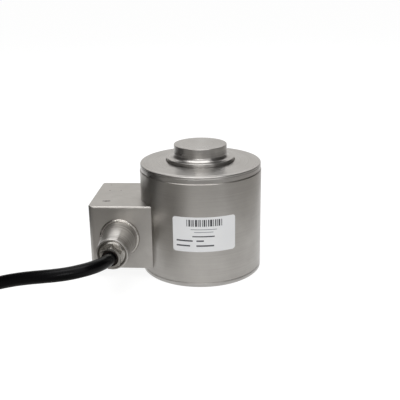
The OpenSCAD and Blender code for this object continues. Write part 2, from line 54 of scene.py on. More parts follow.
def linear(hex_colour):
    """An sRGB colour such as #a09c98 as the linear colour that a shader reads."""
    shares = [int(hex_colour[i : i + 2], 16) / 255 for i in (1, 3, 5)]
    return [s / 12.92 if s <= 0.04045 else ((s + 0.055) / 1.055) ** 2.4 for s in shares] + [1]


def add(owner, kind, sockets=None, **settings):
    """A new node with its settings. A socket is given a value, a node or a node's output. A Mix
    node's sockets go by number: 0 is the share, 2 and 3 its values, 6 and 7 its colours."""
    tree = owner.node_tree
    node = tree.nodes.new("ShaderNode" + kind)
    for name, value in settings.items():
        setattr(node, name, value)
    for name, value in (sockets or {}).items():
        if isinstance(value, bpy.types.Node):
            value = value.outputs[0]
        if isinstance(value, bpy.types.NodeSocket):
            tree.links.new(value, node.inputs[name])
        else:
            node.inputs[name].default_value = value
    return node


def emptied(owner):
    """A new material or world, without the nodes that it starts with."""
    owner.use_nodes = True
    owner.node_tree.nodes.clear()
    return owner


def new_finish(name):
    """An empty material, and its Object coordinates."""
    material = emptied(bpy.data.materials.new(name))
    return material, add(material, "TexCoord").outputs["Object"]


def dress(material, *names):
    """Gives nodes of the frame a finish."""
    for name in names:
        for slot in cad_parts[name].material_slots:
            slot.material = material


def turned_steel(name, light, shade, roughness, groove, marks, centre=(0, 0, 0), axis=(0, 0, 1)):
    """Lathe-turned stainless steel: fine rings round the axis on every face, which stretch its
    highlights across them. Grooves of a real 0.1 mm are drawn as wide as they need to show, and
    marks is their share in the colour, beside the faint clouds that handling leaves."""
    steel, place = new_finish(name)
    offset = add(steel, "VectorMath", {0: place, 1: centre}, operation="SUBTRACT")
    around = add(steel, "VectorMath", {0: axis, 1: offset}, operation="CROSS_PRODUCT")
    radius = add(steel, "VectorMath", {0: around}, operation="LENGTH")
    height = add(steel, "VectorMath", {0: axis, 1: offset}, operation="DOT_PRODUCT")
    ring = add(
        steel, "Math", {0: radius.outputs["Value"], 1: height.outputs["Value"]}, operation="ADD",
    )
    groove_count = add(steel, "Math", {0: ring, 1: 1 / groove}, operation="MULTIPLY")
    fine = add(steel, "VectorMath", {0: axis, "Scale": groove_count}, operation="SCALE")
    slow = add(steel, "VectorMath", {0: offset, "Scale": 1 / GROOVE_RUN}, operation="SCALE")
    grain = add(steel, "TexNoise", {
        "Vector": add(steel, "VectorMath", {0: fine, 1: slow}, operation="ADD"),
        "Scale": 1.0, "Detail": 4.0, "Roughness": 0.65,
    })
    cloud = add(steel, "TexNoise", {
        "Vector": place, "Scale": 1 / HANDLING_CLOUD, "Detail": 4.0, "Roughness": 0.6,
    })
    mixed = add(steel, "Mix", {0: marks, 2: cloud, 3: grain})
    share = add(steel, "MapRange", {"Value": mixed, "From Min": 0.34, "From Max": 0.66})
    colour = add(steel, "Mix", {0: share, 6: linear(shade), 7: linear(light)}, data_type="RGBA")
    rough = add(steel, "MapRange", {
        "Value": mixed, "From Min": 0.3, "From Max": 0.7,
        "To Min": roughness + 0.05, "To Max": roughness - 0.05,
    })
    eased_edge = add(steel, "Bevel", {"Radius": EASED_EDGE}, samples=EDGE_SAMPLES)
    bump = add(steel, "Bump", {
        "Height": grain, "Strength": 0.3, "Distance": 0.02 * MM, "Normal": eased_edge,
    })
    across = add(steel, "VectorMath", {0: around, 1: bump}, operation="CROSS_PRODUCT")
    shader = add(steel, "BsdfPrincipled", {
        "Base Color": colour.outputs[2], "Metallic": 1.0, "Roughness": rough, "Normal": bump,
        "Anisotropic": 0.5, "Tangent": across,
    })
    add(steel, "OutputMaterial", {"Surface": shader})
    return steel


bar_steel = turned_steel(
    "turned_stainless_bar",
    light="#b4b2af", shade="#9c9996", roughness=0.3, groove=0.5 * MM, marks=0.55,
)
dress(bar_steel, "load_column")

# Strain gauges
# Etched constantan foil on amber polyimide film, glued to the column's four flats, four along
# the load and four across. The foil is a matt grey grid, drawn as coarse as it needs to show.
FILM_AMBER = "#b9772a"
FOIL_GREY = "#8f8a80"
GRID_PITCH = 1.0 * MM
FILM_RIPPLE = 1.11 * MM


def from_centre_line(finish, place):
    """How far a point is from the nearer of the cell's two centre lines, seen from above."""
    size = add(finish, "VectorMath", {0: place}, operation="ABSOLUTE")
    split = add(finish, "SeparateXYZ", {0: size})
    return add(finish, "Math", {0: split.outputs[0], 1: split.outputs[1]}, operation="MINIMUM")


def foil_gauge(name, lengthwise):
    """Polyimide film with a grid of foil lines, which run along the gauge."""
    film, place = new_finish(name)
    if lengthwise:
        counted = from_centre_line(film, place)
    else:
        counted = add(film, "SeparateXYZ", {0: place}).outputs[2]
    line = add(film, "Math", {0: counted, 1: GRID_PITCH / 2}, operation="PINGPONG")
    foil = add(film, "Math", {0: line, 1: GRID_PITCH / 4}, operation="GREATER_THAN")
    colour = add(
        film, "Mix", {0: foil, 6: linear(FILM_AMBER), 7: linear(FOIL_GREY)}, data_type="RGBA",
    )
    ripple = add(film, "TexNoise", {"Vector": place, "Scale": 1 / FILM_RIPPLE})
    bump = add(film, "Bump", {"Height": foil, "Strength": 0.4, "Distance": 0.02 * MM})
    rough = add(film, "MapRange", {"Value": ripple, "To Min": 0.25, "To Max": 0.45})
    shader = add(film, "BsdfPrincipled", {
        "Base Color": colour.outputs[2], "Roughness": rough, "Normal": bump, "Coat Weight": 0.3,
    })
    add(film, "OutputMaterial", {"Surface": shader})
    return film


dress(foil_gauge("polyimide_foil_gauge_along", lengthwise=True), "axial_gauges")
dress(foil_gauge("polyimide_foil_gauge_across", lengthwise=False), "poisson_gauges")

# Solder tabs
# Strips of glass-epoxy with tinned copper pads, bonded above the gauges, where the gauges'
# fine leads meet the bridge wires.
STRIP_OCHRE = "#8d7a3e"
PAD_COPPER = "#c08552"
PAD_PITCH = 4.4 * MM
SOLDER_GRAIN = 1.43 * MM
tabs, place = new_finish("tinned_copper_tabs")
across = from_centre_line(tabs, place)
line = add(tabs, "Math", {0: across, 1: PAD_PITCH / 2}, operation="PINGPONG")
pad = add(tabs, "Math", {0: line, 1: 0.175 * PAD_PITCH}, operation="GREATER_THAN")
colour = add(
    tabs, "Mix", {0: pad, 6: linear(STRIP_OCHRE), 7: linear(PAD_COPPER)}, data_type="RGBA",
)
grain = add(tabs, "TexNoise", {"Vector": place, "Scale": 1 / SOLDER_GRAIN})
rough = add(tabs, "MapRange", {"Value": grain, "To Min": 0.25, "To Max": 0.5})
bump = add(tabs, "Bump", {"Height": grain, "Strength": 0.3, "Distance": 0.03 * MM})
shader = add(tabs, "BsdfPrincipled", {
    "Base Color": colour.outputs[2], "Metallic": pad, "Roughness": rough, "Normal": bump,
})
add(tabs, "OutputMaterial", {"Surface": shader})
dress(tabs, "solder_tabs")

# Ring board, its spacers and screws
# A ring of green glass-epoxy board on nylon spacers, held by four small stainless screws. Its
# copper tracks are faint raised lines, and its weave is drawn as coarse as it needs to show.
MASK_GREEN = "#1d5632"
TRACK_GREEN = "#2f7a48"
TRACK_PITCH = 2.4 * MM
GLASS_WEAVE = 2.0 * MM
MELT_CLOUD = 16.7 * MM
board, place = new_finish("solder_masked_glass_epoxy")
split = add(board, "SeparateXYZ", {0: place})
flat = add(board, "CombineXYZ", {0: split.outputs[0], 1: split.outputs[1]})
radius = add(board, "VectorMath", {0: flat}, operation="LENGTH").outputs["Value"]
line = add(board, "Math", {0: radius, 1: TRACK_PITCH / 2}, operation="PINGPONG")
track = add(board, "Math", {0: line, 1: 0.32 * TRACK_PITCH}, operation="GREATER_THAN")
weave = add(board, "TexNoise", {"Vector": place, "Scale": 1 / GLASS_WEAVE, "Detail": 3.0})
mask = add(
    board, "Mix", {0: track, 6: linear(MASK_GREEN), 7: linear(TRACK_GREEN)}, data_type="RGBA",
)
colour = add(
    board, "Mix", {0: 0.35, 6: mask.outputs[2], 7: weave.outputs[1]},
    data_type="RGBA", blend_type="SOFT_LIGHT",
)
bump = add(board, "Bump", {"Height": track, "Strength": 0.5, "Distance": 0.04 * MM})
shader = add(board, "BsdfPrincipled", {
    "Base Color": colour.outputs[2], "Roughness": 0.32, "Normal": bump,
})
add(board, "OutputMaterial", {"Surface": shader})
dress(board, "ring_board")


def moulded(name, colour, deeper, roughness, grain, relief, level=0.5):
    """A moulded or drawn plastic: an even colour with a faint cloud, over a fine grain."""
    plastic, place = new_finish(name)
    cloud = add(plastic, "TexNoise", {"Vector": place, "Scale": 1 / MELT_CLOUD, "Detail": 3.0})
    pits = add(plastic, "TexNoise", {"Vector": place, "Scale": 1 / grain, "Detail": 2.0})
    mixed = add(plastic, "Mix", {0: cloud, 6: linear(deeper), 7: linear(colour)}, data_type="RGBA")
    rough = add(plastic, "MapRange", {
        "Value": pits, "To Min": roughness - 0.08, "To Max": roughness + 0.08,
    })
    bump = add(plastic, "Bump", {"Height": pits, "Strength": 0.3, "Distance": relief})
    shader = add(plastic, "BsdfPrincipled", {
        "Base Color": mixed.outputs[2], "Roughness": rough, "Normal": bump,
        "Specular IOR Level": level,
    })
    add(plastic, "OutputMaterial", {"Surface": shader})
    return plastic


spacer_nylon = moulded(
    "moulded_natural_nylon",
    colour="#e0dccf", deeper="#d2cdbd", roughness=0.5, grain=0.4 * MM, relief=0.02 * MM,
)
dress(spacer_nylon, "board_spacers")
screw_steel = turned_steel(
    "cold_headed_screw_steel",
    light="#c2c2c0", shade="#a9a9a6", roughness=0.25, groove=0.3 * MM, marks=0.5,
)
dress(screw_steel, "board_screws")

# Trimming resistors and span bobbins
# Metal film resistors in a blue lacquer, which trim the bridge's zero, and bobbins wound with
# nickel wire, whose turns show as close copper-brown rings between two cheeks, each painted
# lighter on its crown and darker in the crease beside it: painted highlight and painted shade.
LACQUER_BLUE = "#3d6ea6"
BAND_BROWN = "#5b2f22"
LEG_GREY = "#c9c7c2"
BAND_PITCH = 3.0 * MM
LEG_FROM = 3.05 * MM
LACQUER_RIPPLE = 1.25 * MM
WIRE_SHADED_CREASE = "#4d2317"
WIRE_LIT_CROWN = "#96563a"
WIRE_TURN = 0.35 * MM
WIRE_GRAIN = 1.67 * MM
lacquer, place = new_finish("lacquered_film_resistor")
across = from_centre_line(lacquer, place)
line = add(lacquer, "Math", {0: across, 1: BAND_PITCH / 2}, operation="PINGPONG")
band = add(lacquer, "Math", {0: line, 1: 0.375 * BAND_PITCH}, operation="GREATER_THAN")
leg = add(lacquer, "Math", {0: across, 1: LEG_FROM}, operation="GREATER_THAN")
body = add(
    lacquer, "Mix", {0: band, 6: linear(LACQUER_BLUE), 7: linear(BAND_BROWN)}, data_type="RGBA",
)
colour = add(lacquer, "Mix", {0: leg, 6: body.outputs[2], 7: linear(LEG_GREY)}, data_type="RGBA")
grain = add(lacquer, "TexNoise", {"Vector": place, "Scale": 1 / LACQUER_RIPPLE})
bump = add(lacquer, "Bump", {"Height": grain, "Strength": 0.3, "Distance": 0.03 * MM})
shader = add(lacquer, "BsdfPrincipled", {
    "Base Color": colour.outputs[2], "Metallic": leg, "Roughness": 0.3, "Normal": bump,
})
add(lacquer, "OutputMaterial", {"Surface": shader})
dress(lacquer, "trim_resistors")

# Each turn's colour runs from a painted shade in the crease between turns to a painted highlight
# on its crown, mixed with a little grain.
winding, place = new_finish("nickel_wire_on_phenolic_bobbin")
split = add(winding, "SeparateXYZ", {0: place})
turn = add(winding, "Math", {0: split.outputs[2], 1: WIRE_TURN / 2}, operation="PINGPONG")
crown_shade_and_relief = add(winding, "MapRange", {"Value": turn, "From Max": WIRE_TURN / 2})
grain = add(winding, "TexNoise", {"Vector": place, "Scale": 1 / WIRE_GRAIN})
mixed = add(winding, "Mix", {0: 0.3, 2: crown_shade_and_relief, 3: grain})
colour = add(
    winding, "Mix", {0: mixed, 6: linear(WIRE_SHADED_CREASE), 7: linear(WIRE_LIT_CROWN)}, data_type="RGBA",
)
bump = add(winding, "Bump", {"Height": crown_shade_and_relief, "Strength": 0.5, "Distance": 0.1 * MM})
shader = add(winding, "BsdfPrincipled", {
    "Base Color": colour.outputs[2], "Roughness": 0.4, "Normal": bump,
})
add(winding, "OutputMaterial", {"Surface": shader})
dress(winding, "span_resistors")

# Bridge wires
# Thin stranded wires in red PTFE, extruded, soldered from the tabs down to the ring board.
# PTFE has a waxy sheen.
wire_ptfe = moulded(
    "extruded_red_ptfe",
    colour="#b93a2e", deeper="#a02c22", roughness=0.38, grain=0.3 * MM, relief=0.01 * MM,
)
dress(wire_ptfe, "bridge_wires")

# Housing tube
# Stainless tube, turned and then rubbed satin, welded to the base and to the cover. Its fine
# rings are nearly even, so it shows soft broad reflections.
tube_steel = turned_steel(
    "satin_stainless_tube",
    light="#aba8a4", shade="#9f9c98", roughness=0.36, groove=0.6 * MM, marks=0.45,
)
dress(tube_steel, "housing_tube")

# Seam welds
# Narrow welds, made without filler between tube and base and between tube and cover, then
# turned flush. They shine a little more than the tube.
seam_steel = turned_steel(
    "turned_weld_seam",
    light="#b4b1ad", shade="#96928d", roughness=0.38, groove=0.5 * MM, marks=0.4,
)
dress(seam_steel, "base_weld", "cover_weld")

# Inner diaphragm
# A disc of bright rolled stainless sheet that keeps the column upright in the tube. Rolling
# leaves fine straight lines, 11 mm long and 0.3 mm wide.
SHEET_SHADE = "#a9a7a3"
SHEET_LIGHT = "#c4c2be"
ROLL_LINE = 11.1 * MM
ROLL_FINENESS = 40
sheet, place = new_finish("bright_rolled_stainless_sheet")
stretched = add(sheet, "Mapping", {"Vector": place, "Scale": (1, ROLL_FINENESS, 1)})
lines = add(sheet, "TexNoise", {"Vector": stretched, "Scale": 1 / ROLL_LINE, "Detail": 4.0})
colour = add(
    sheet, "Mix", {0: lines, 6: linear(SHEET_SHADE), 7: linear(SHEET_LIGHT)}, data_type="RGBA",
)
bump = add(sheet, "Bump", {"Height": lines, "Strength": 0.3, "Distance": 0.01 * MM})
shader = add(sheet, "BsdfPrincipled", {
    "Base Color": colour.outputs[2], "Metallic": 1.0, "Roughness": 0.22, "Normal": bump,
})
add(sheet, "OutputMaterial", {"Surface": shader})
dress(sheet, "inner_diaphragm")

# Top cover and its sealing ring
# A stainless disc, faced and turned with a fine feed. Its rings fan the light out into soft
# sectors round the middle. The thin ring closes the groove round the column's neck.
cover_steel = turned_steel(
    "faced_stainless_cover",
    light="#b3b1ae", shade="#a09d9a", roughness=0.3, groove=0.45 * MM, marks=0.6,
)
dress(cover_steel, "top_cover")
ring_steel = turned_steel(
    "thin_turned_ring",
    light="#9d9a96", shade="#85827e", roughness=0.35, groove=0.4 * MM, marks=0.5,
)
dress(ring_steel, "seal_ring")

# The cover's raised face
# Turned on the cover: it rises by a millimetre towards the button's flare and leaves a narrow
# gap there, so that only the flare's upper edge stands clear.
FACE_FACETS = 240
MERGE_WITHIN = 0.01 * MM
SHARP_ANGLE = math.radians(40)
# Its section, as radius and height in mm: up beside the gap, then outwards and down to the rim
FACE_SECTION = [
    (23.4, 74.9), (23.4, 75.98), (23.5, 76.1), (23.7, 76.13), (26.5, 75.82), (30.0, 75.47),
    (33.5, 75.2), (37.0, 75.05), (39.0, 75.01), (39.3, 74.9),
]
foot_r, foot_z = FACE_SECTION[0]
bpy.ops.object.select_all(action="DESELECT")
bpy.ops.mesh.primitive_circle_add(
    vertices=FACE_FACETS,
    radius=foot_r * MM,
    location=(0, 0, foot_z * MM),
)
cover_face = bpy.context.object
cover_face.name = "cover_face"
bpy.ops.object.transform_apply(location=True, rotation=True, scale=True)
bpy.ops.object.mode_set(mode="EDIT")
bpy.ops.mesh.select_all(action="SELECT")
for (r, z), (next_r, next_z) in zip(FACE_SECTION, FACE_SECTION[1:] + FACE_SECTION[:1]):
    bpy.ops.mesh.extrude_region_move(TRANSFORM_OT_translate={"value": (0, 0, (next_z - z) * MM)})
    bpy.ops.transform.resize(value=(next_r / r, next_r / r, 1), center_override=(0, 0, 0))
bpy.ops.mesh.select_all(action="SELECT")
bpy.ops.mesh.remove_doubles(threshold=MERGE_WITHIN)
bpy.ops.mesh.normals_make_consistent(inside=False)
bpy.ops.object.mode_set(mode="OBJECT")
bpy.ops.object.shade_smooth_by_angle(angle=SHARP_ANGLE)
cover_face.data.materials.append(cover_steel)
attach(cover_face, "root")

# Cable block
# Stainless bar, milled square and rubbed satin, then welded to the tube. It has an even matt
# grain, drawn as coarse as it needs to show, rounded worn edges and a few dark nicks on top.
SATIN_SHADE = "#9e9b97"
SATIN_LIGHT = "#aba8a4"
NICK_DARK = "#4a4643"
SATIN_GRAIN = 0.35 * MM
RUB_CLOUD = 14.3 * MM
WORN_EDGE = 0.3 * MM
# The middle and the reach of each nick, in mm
NICKS = [
    ((-63.2, -15.4, 50.7), 1.9),
    ((-61.4, -15.1, 50.7), 1.5),
    ((-65.1, -15.2, 50.7), 1.1),
    ((-65.1, 8.4, 50.7), 0.8),
    ((-57.2, 8.9, 50.7), 0.7),
    ((-66.5, 21.7, 50.7), 0.7),
]
satin, place = new_finish("satin_milled_stainless")
grain = add(satin, "TexNoise", {
    "Vector": place, "Scale": 1 / SATIN_GRAIN, "Detail": 3.0, "Roughness": 0.7,
})
cloud = add(satin, "TexNoise", {
    "Vector": place, "Scale": 1 / RUB_CLOUD, "Detail": 4.0, "Roughness": 0.6,
})
mixed = add(satin, "Mix", {0: 0.35, 2: cloud, 3: grain})
share = add(satin, "MapRange", {"Value": mixed, "From Min": 0.34, "From Max": 0.66})
rubbed = add(
    satin, "Mix", {0: share, 6: linear(SATIN_SHADE), 7: linear(SATIN_LIGHT)}, data_type="RGBA",
)
sound = 1.0
for middle, reach in NICKS:
    away = add(satin, "VectorMath", {0: place, 1: [v * MM for v in middle]}, operation="DISTANCE")
    beyond = add(satin, "MapRange", {
        "Value": away.outputs["Value"], "From Min": 0.4 * reach * MM, "From Max": reach * MM,
    })
    sound = add(satin, "Math", {0: sound, 1: beyond}, operation="MULTIPLY")
colour = add(
    satin, "Mix", {0: sound, 6: linear(NICK_DARK), 7: rubbed.outputs[2]}, data_type="RGBA",
)
relief = add(satin, "Mix", {0: 0.15, 2: sound, 3: grain})
rough = add(satin, "MapRange", {
    "Value": mixed, "From Min": 0.3, "From Max": 0.7, "To Min": 0.42, "To Max": 0.34,
})
worn_edge = add(satin, "Bevel", {"Radius": WORN_EDGE}, samples=EDGE_SAMPLES)
bump = add(satin, "Bump", {
    "Height": relief, "Strength": 0.25, "Distance": 0.1 * MM, "Normal": worn_edge,
})
shader = add(satin, "BsdfPrincipled", {
    "Base Color": colour.outputs[2], "Metallic": 1.0, "Roughness": rough, "Normal": bump,
})
add(satin, "OutputMaterial", {"Surface": shader})
dress(satin, "junction_block")

# Wire sleeve
# A short PTFE tube, cut from stock, that lines the wire hole. PTFE is white and waxy.
sleeve_ptfe = moulded(
    "cut_ptfe_tube",
    colour="#eeece6", deeper="#dfdcd3", roughness=0.35, grain=0.5 * MM, relief=0.01 * MM,
)
dress(sleeve_ptfe, "wire_sleeve")

# Gland body
# Turned from stainless bar with a slight taper and a coarser feed than the tube, and welded to
# the block. Its rings are drawn 1.8 mm apart, as coarse as they need to show.
GLAND_CENTRE = (-53 * MM, 0, 28.65 * MM)
GLAND_AXIS = (0, 1, 0)
gland_steel = turned_steel(
    "coarse_turned_gland",
    light="#d0cecb", shade="#94918d", roughness=0.32, groove=1.8 * MM, marks=0.85,
    centre=GLAND_CENTRE, axis=GLAND_AXIS,
)
dress(gland_steel, "gland_body")

# Weld bead round the gland's foot
# One pass of welding wire, which sets in even ripples 1.6 mm apart and stays bright.
BEAD_RIPPLES = 48
BEAD_R = 12.0 * MM
BEAD_THICK = 1.6 * MM
BEAD_SIDES = 16
RIPPLE = 0.1 * MM
BLOCK_FRONT = -27 * MM
bpy.ops.object.select_all(action="DESELECT")
bpy.ops.mesh.primitive_torus_add(
    location=(GLAND_CENTRE[0], BLOCK_FRONT, GLAND_CENTRE[2]),
    rotation=(math.pi / 2, 0, 0),
    major_segments=2 * BEAD_RIPPLES,
    minor_segments=BEAD_SIDES,
    major_radius=BEAD_R,
    minor_radius=BEAD_THICK,
)
bead = bpy.context.object
bead.name = "gland_bead"
bpy.ops.object.transform_apply(location=True, rotation=True, scale=True)
bpy.ops.object.mode_set(mode="EDIT")
bpy.ops.mesh.select_all(action="DESELECT")
bpy.ops.object.mode_set(mode="OBJECT")
for point in bead.data.vertices:
    angle = math.atan2(point.co.z - GLAND_CENTRE[2], point.co.x - GLAND_CENTRE[0])
    point.select = round(angle / math.pi * BEAD_RIPPLES) % 2 == 0
bpy.ops.object.mode_set(mode="EDIT")
bpy.ops.transform.shrink_fatten(value=-RIPPLE)
bpy.ops.object.mode_set(mode="OBJECT")
smooth = bead.modifiers.new("smooth", "SUBSURF")
smooth.levels = smooth.render_levels = 1
bpy.ops.object.modifier_apply(modifier="smooth")
bpy.ops.object.shade_smooth()
bead_steel = turned_steel(
    "rippled_weld_bead",
    light="#b9b6b1", shade="#908c87", roughness=0.24, groove=1.6 * MM, marks=0.5,
    centre=GLAND_CENTRE, axis=GLAND_AXIS,
)
bead.data.materials.append(bead_steel)
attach(bead, "root")
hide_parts("gland_weld")

# Gland seal and clamping nut
# A nitrile rubber bush, dark brown and matt, squeezed round the cable by a bright nut that is
# turned from hexagon bar.
seal_rubber = moulded(
    "moulded_nitrile_rubber",
    colour="#2b201b", deeper="#1d1512", roughness=0.7, grain=0.3 * MM, relief=0.03 * MM,
    level=0.3,
)
dress(seal_rubber, "gland_seal")
nut_steel = turned_steel(
    "turned_hexagon_bar",
    light="#b7b4b0", shade="#98958f", roughness=0.26, groove=0.5 * MM, marks=0.5,
    centre=GLAND_CENTRE, axis=GLAND_AXIS,
)
dress(nut_steel, "gland_nut")

# Cable cores
# Stranded cores in extruded PVC, which is smooth and a little glossy. They run from the cable
# through the wire hole to the ring board.
CORE_COLOURS = {
    "red": ("#b5211d", "#98180f"),
    "black": ("#232323", "#161616"),
    "green": ("#1f7a3a", "#17632e"),
    "white": ("#e6e6e2", "#d8d8d3"),
}
insulation = {}
for name, (colour, deeper) in CORE_COLOURS.items():
    insulation[name] = moulded(
        "extruded_pvc_" + name, colour, deeper, roughness=0.35, grain=0.4 * MM, relief=0.01 * MM,
    )
    dress(insulation[name], name + "_core")

# Sealing compound
# Grey epoxy, poured round the cores until the block's chamber is full. It sets with a dull
# gloss and small flow marks.
epoxy = moulded(
    "poured_grey_epoxy",
    colour="#4a4a50", deeper="#3a3a40", roughness=0.35, grain=1.5 * MM, relief=0.05 * MM,
)
dress(epoxy, "sealing_compound")

# Label
# Satin polyester film, stuck round the tube, with thermal print in black and grey. The print
# is a plain row of upright bars and plain strokes, and says nothing.
FILM_SHADE = "#d0d1d3"
FILM_LIGHT = "#d6d6d6"
FILM_CLOUD = 11.1 * MM
FILM_GRAIN = 0.4 * MM
LABEL_R = 41.45 * MM
LABEL_Z = 36.9 * MM
LABEL_AT = math.radians(6.3)
PRESS_FROM = 2 * MM
INK_THICK = 0.02 * MM
# The print's sizes, in mm from the label's middle
INK_STEP = 0.4
BAR_LOW = 5.6
BAR_HIGH = 10.2
BAR_WIDTHS = (0.5, 1.1, 0.5, 0.8, 1.4, 0.5, 0.8)
BAR_GAPS = (0.5, 0.8, 0.5)
BARS_LEFT = -11.5
BARS_RIGHT = 11.5
# Strokes, as left, right, low and thick
DARK_STROKES = [
    (-7.8, 6.6, -1.6, 0.8),
    (-18.4, -7.6, -4.7, 1.0), (-5.2, -0.4, -4.7, 1.0),
    (-18.4, -9.4, -8.1, 1.0), (-5.3, 6.2, -8.1, 1.0),
]
GREY_STROKES = [(-8.9, 8.1, 3.3, 0.5), (-6.6, 5.8, 1.5, 0.5)]
film, place = new_finish("satin_polyester_film")
cloud = add(film, "TexNoise", {"Vector": place, "Scale": 1 / FILM_CLOUD, "Detail": 3.0})
grain = add(film, "TexNoise", {"Vector": place, "Scale": 1 / FILM_GRAIN})
colour = add(
    film, "Mix", {0: cloud, 6: linear(FILM_SHADE), 7: linear(FILM_LIGHT)}, data_type="RGBA",
)
bump = add(film, "Bump", {"Height": grain, "Strength": 0.2, "Distance": 0.02 * MM})
shader = add(film, "BsdfPrincipled", {
    "Base Color": colour.outputs[2], "Roughness": 0.42, "Normal": bump,
})
add(film, "OutputMaterial", {"Surface": shader})
dress(film, "label")


def label_print(name, ink, marks):
    """Marks in millimetres from the label's middle, pressed onto the label as a film of ink."""
    bpy.ops.object.select_all(action="DESELECT")
    pieces = []
    for left, right, low, high in marks:
        start, end = (LABEL_R * math.sin(x * MM / LABEL_R + LABEL_AT) for x in (left, right))
        bpy.ops.mesh.primitive_grid_add(
            x_subdivisions=math.ceil((right - left) / INK_STEP),
            y_subdivisions=1,
            size=1,
            location=((start + end) / 2, -LABEL_R - PRESS_FROM, LABEL_Z + (low + high) / 2 * MM),
            rotation=(math.pi / 2, 0, 0),
        )
        bpy.context.object.scale = (end - start, (high - low) * MM, 1)
        pieces.append(bpy.context.object)
    for piece in pieces:
        piece.select_set(True)
    bpy.ops.object.join()
    sheet = bpy.context.object
    sheet.name = name
    bpy.ops.object.transform_apply(location=True, rotation=True, scale=True)
    pressed = sheet.modifiers.new("pressed", "SHRINKWRAP")
    pressed.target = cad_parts["label"]
    pressed.wrap_method = "PROJECT"
    pressed.use_project_y = True
    pressed.use_positive_direction = True
    pressed.use_negative_direction = False
    thick = sheet.modifiers.new("thick", "SOLIDIFY")
    thick.thickness = INK_THICK
    thick.offset = 1
    for modifier in ("pressed", "thick"):
        bpy.ops.object.modifier_apply(modifier=modifier)
    sheet.data.materials.append(ink)
    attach(sheet, "root")


bars = []
at = BARS_LEFT
while at < BARS_RIGHT:
    width = BAR_WIDTHS[len(bars) % len(BAR_WIDTHS)]
    bars.append((at, at + width, BAR_LOW, BAR_HIGH))
    at += width + BAR_GAPS[len(bars) % len(BAR_GAPS)]
dark_strokes = [(left, right, low, low + thick) for left, right, low, thick in DARK_STROKES]
grey_strokes = [(left, right, low, low + thick) for left, right, low, thick in GREY_STROKES]
black_ink = moulded(
    "thermal_ink_black",
    colour="#3a3a3d", deeper="#46464a", roughness=0.5, grain=0.2 * MM, relief=0.005 * MM,
)
grey_ink = moulded(
    "thermal_ink_grey",
    colour="#808387", deeper="#8c8f93", roughness=0.5, grain=0.2 * MM, relief=0.005 * MM,
)
label_print("label_print_black", black_ink, bars + dark_strokes)
label_print("label_print_grey", grey_ink, grey_strokes)

# Cable
# Eight millimetre polyurethane cable, about 6 m of it. It leaves the gland, bends to the left
# and lies on the floor, and the rest is wound into a tied coil of fifteen turns.
CABLE_D = 8 * MM
# The coil's section, in strands, and the turning in degrees: of a change of level or column,
# up to the first change, and from one point of the curve to the next
COIL_ACROSS = 4
COIL_HIGH = 4
STEP_TURN = 42
FIRST_STEP_AT = 288
POINT_EVERY = 15
TAIL_R = 33 * MM
TAIL_TURN_AT = (20, 40, 60)
# The routes, in mm
CABLE_ROUTE = [
    (-53, -33, 28.65), (-53, -46, 28.65), (-53, -60, 28.65), (-53.9, -67, 29.2),
    (-56.6, -73.5, 29.7), (-60.9, -79.1, 29.9), (-66.5, -83.4, 29.8), (-73, -86.1, 29.3),
    (-80, -87, 28.5), (-89, -86.7, 27.3), (-98, -85.6, 25.8), (-108, -84.2, 23.6),
    (-119, -82.9, 20.5), (-131, -81.6, 16.3), (-143, -80.6, 11.8), (-155, -80.1, 7.9),
    (-167, -80, 5.2), (-180, -80, 4.2), (-193, -80, 4.4), (-211, -80, 4.7),
]
TAIL_ROUTE = [
    (-262.5, -28.7, 4.8), (-262.9, -20.1, 4.7), (-261.6, -11.7, 4.6), (-258.3, -4.7, 4.5),
    (-253.3, 0.3, 4.5), (-249.8, 3.8, 4.5),
]
coil_low, coil_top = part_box("cable_coil")
coil_centre = (coil_low + coil_top) / 2
first_r = (coil_top.x - coil_low.x) / 2 - CABLE_D / 2
first_z = coil_low.z + CABLE_D / 2


def eased(t):
    """A step from 0 to 1 with a soft start and end."""
    t = min(max(t, 0), 1)
    return t * t * (3 - 2 * t)


# Where the strand climbs, drops or moves inwards, as degrees travelled and the change in
# level and in column. Each kind of change has its own sector, so that strands never cross.
changes = []
travelled = 0
sector = FIRST_STEP_AT
for column in range(COIL_ACROSS):
    climb = 1 if column % 2 == 0 else -1
    for _ in range(COIL_HIGH - 1):
        travelled += (sector - travelled) % 360
        changes.append((travelled, climb, 0))
        travelled += STEP_TURN
    if column < COIL_ACROSS - 1:
        sector -= STEP_TURN
        travelled += (sector - travelled) % 360
        changes.append((travelled, 0, 1))
        travelled += STEP_TURN
        sector -= STEP_TURN
whole_turns = math.ceil(travelled / 360)

coil_turns = []
for degrees in range(0, whole_turns * 360 + 1, POINT_EVERY):
    level = sum(climb * eased((degrees - start) / STEP_TURN) for start, climb, inward in changes)
    column = sum(inward * eased((degrees - start) / STEP_TURN) for start, climb, inward in changes)
    r = first_r - column * CABLE_D
    a = math.radians(-90 - degrees)
    coil_turns.append((
        coil_centre.x + r * math.cos(a),
        coil_centre.y + r * math.sin(a),
        first_z + level * CABLE_D,
    ))
last_r = first_r - (COIL_ACROSS - 1) * CABLE_D
tail_turn = [
    (
        coil_centre.x - TAIL_R * math.sin(math.radians(a)),
        coil_centre.y - last_r + TAIL_R - TAIL_R * math.cos(math.radians(a)),
        first_z,
    )
    for a in TAIL_TURN_AT
]
whole_route = [tuple(v * MM for v in p) for p in CABLE_ROUTE] + coil_turns + tail_turn
whole_route += [tuple(v * MM for v in p) for p in TAIL_ROUTE]


def smooth_cord(name, points, diameter, roundness):
    """A curve through points, with a round section."""
    curve = bpy.data.curves.new(name, "CURVE")
    curve.dimensions = "3D"
    curve.resolution_u = 4
    curve.bevel_depth = diameter / 2
    curve.bevel_resolution = roundness
    curve.use_fill_caps = True
    line = curve.splines.new("BEZIER")
    line.bezier_points.add(len(points) - 1)
    for handle, point in zip(line.bezier_points, points):
        handle.co = point
        handle.handle_left_type = handle.handle_right_type = "AUTO"
    piece = bpy.data.objects.new(name, curve)
    bpy.context.scene.collection.objects.link(piece)
    return piece


